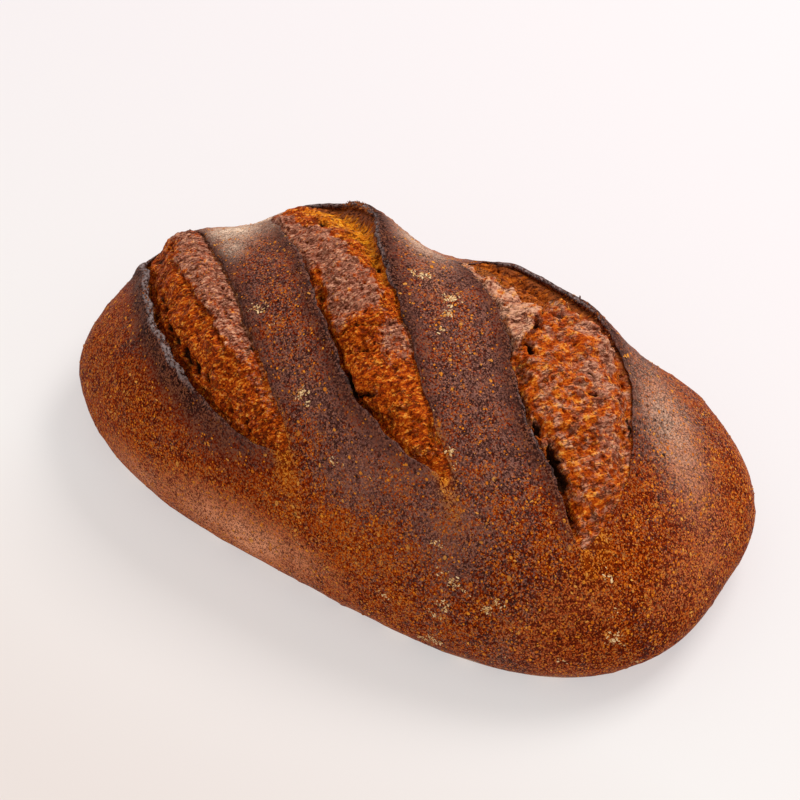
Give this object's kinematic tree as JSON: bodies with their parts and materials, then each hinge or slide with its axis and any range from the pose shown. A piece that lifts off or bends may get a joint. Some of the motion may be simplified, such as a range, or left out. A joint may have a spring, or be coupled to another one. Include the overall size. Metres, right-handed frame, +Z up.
{
  "type": "sourdough loaf",
  "caption": "Oval hearth-baked sourdough loaf with a domed, scored top, lifted crust edges, torn crumb risen in the cuts and a flat base.",
  "frame": {"origin": "centre of the loaf's outline at the height of its flat base", "axes": "+Z up from the base; X along the loaf, with -X at its rounder, left-hand end in the picture; -Y towards its near side"},
  "size_m": [0.2746, 0.1578, 0.0975],
  "materials": {
    "crust": null
  },
  "bodies": {
    "root": {"loaf": "crust"}
  },
  "joints": []
}
